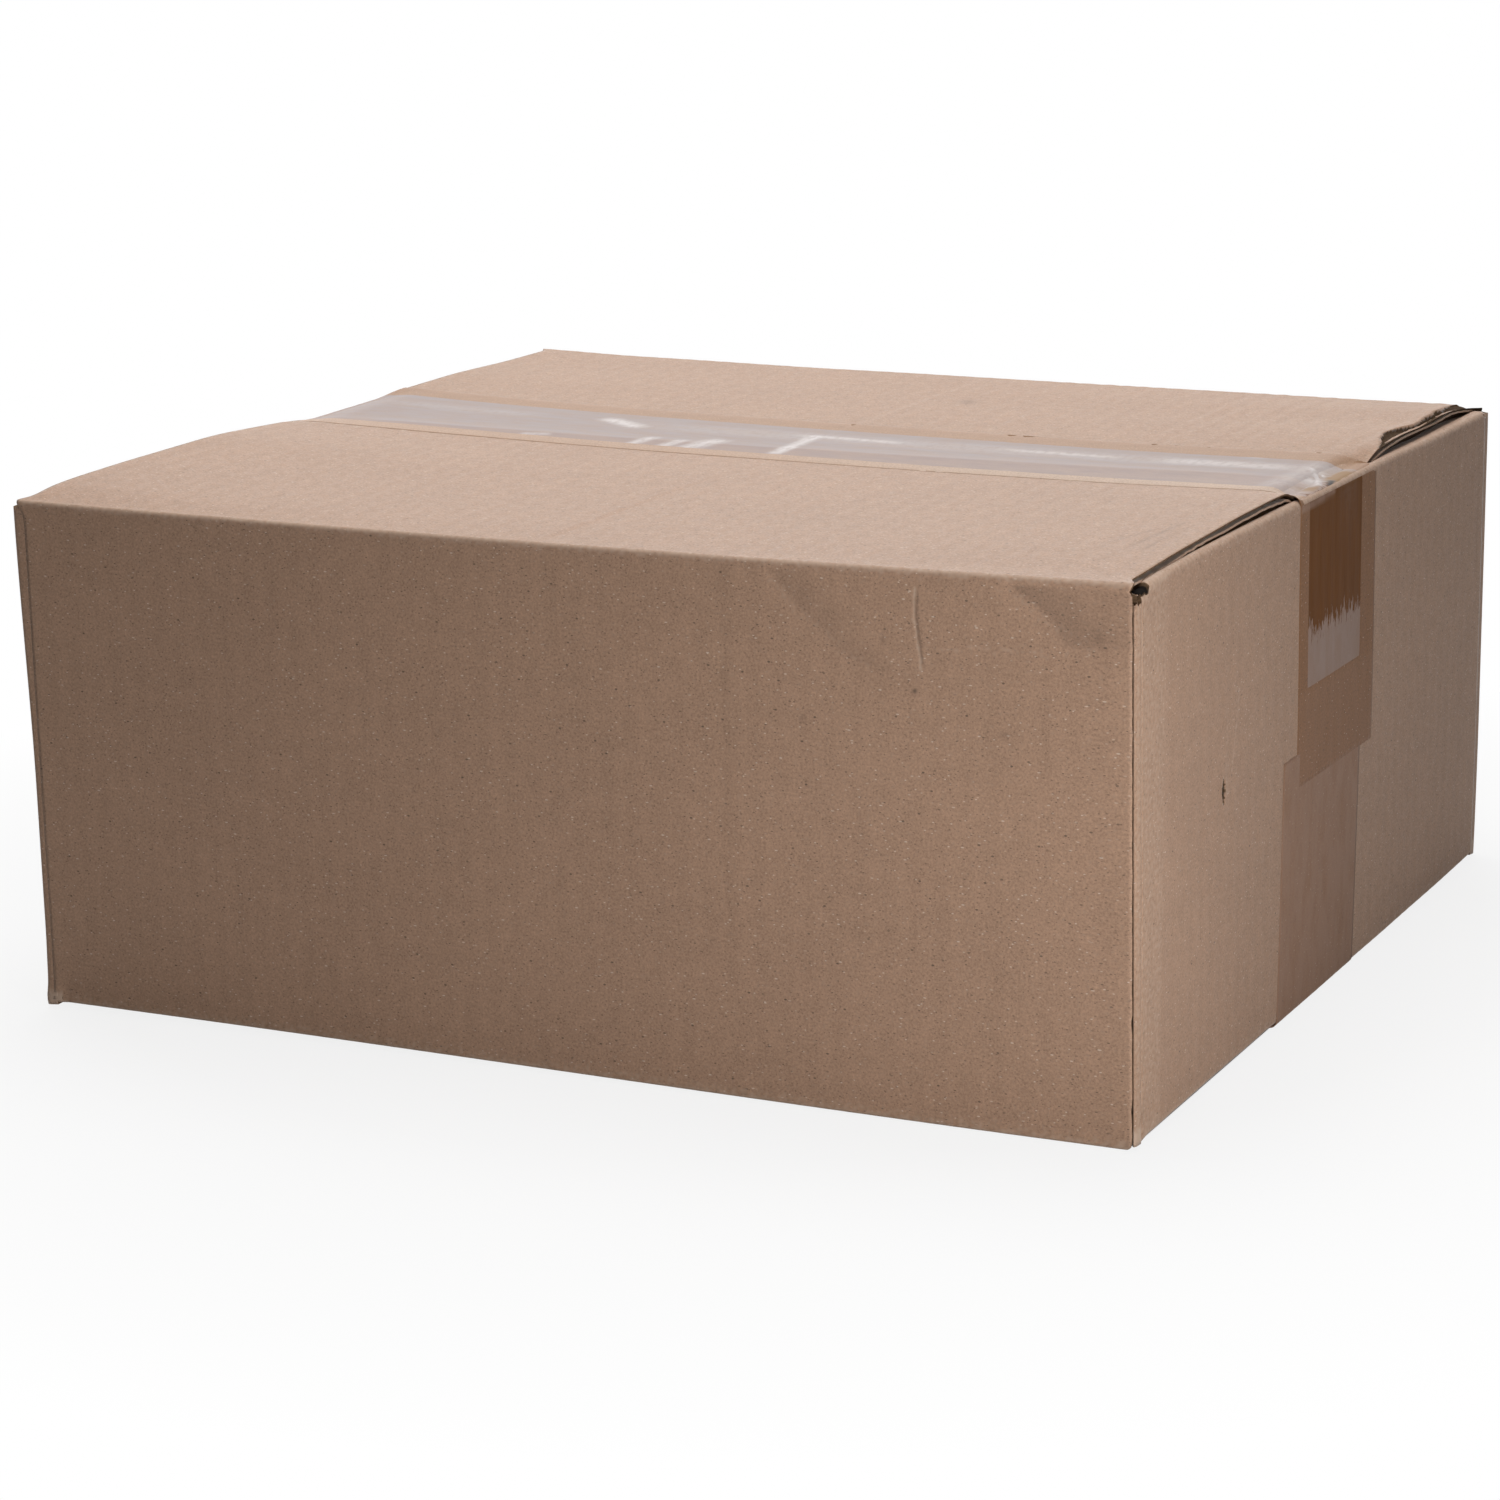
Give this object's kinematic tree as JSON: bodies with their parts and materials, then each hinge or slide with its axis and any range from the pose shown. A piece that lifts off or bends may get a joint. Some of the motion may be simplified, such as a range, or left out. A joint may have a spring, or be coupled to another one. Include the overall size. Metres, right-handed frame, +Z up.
{
  "type": "closed cardboard box",
  "caption": "Closed corrugated shipping box, flat and rectangular, with its long flaps meeting along the top and clear tape over the seam and down both ends.",
  "frame": {"origin": "centre of the footprint, on the floor under the bottom tape", "axes": "+X to the right along the long panels, +Y from the front panel to the back panel, +Z up"},
  "size_m": [0.3504, 0.324, 0.1557],
  "materials": {
    "board": "matte unbleached kraft board with short fibre flecks",
    "tape": "clear glossy film that darkens the board where it sticks"
  },
  "bodies": {
    "root": {"carton": "board", "top_tape_narrow": "tape", "top_tape_wide": "tape", "bottom_tape": "tape"}
  },
  "joints": []
}
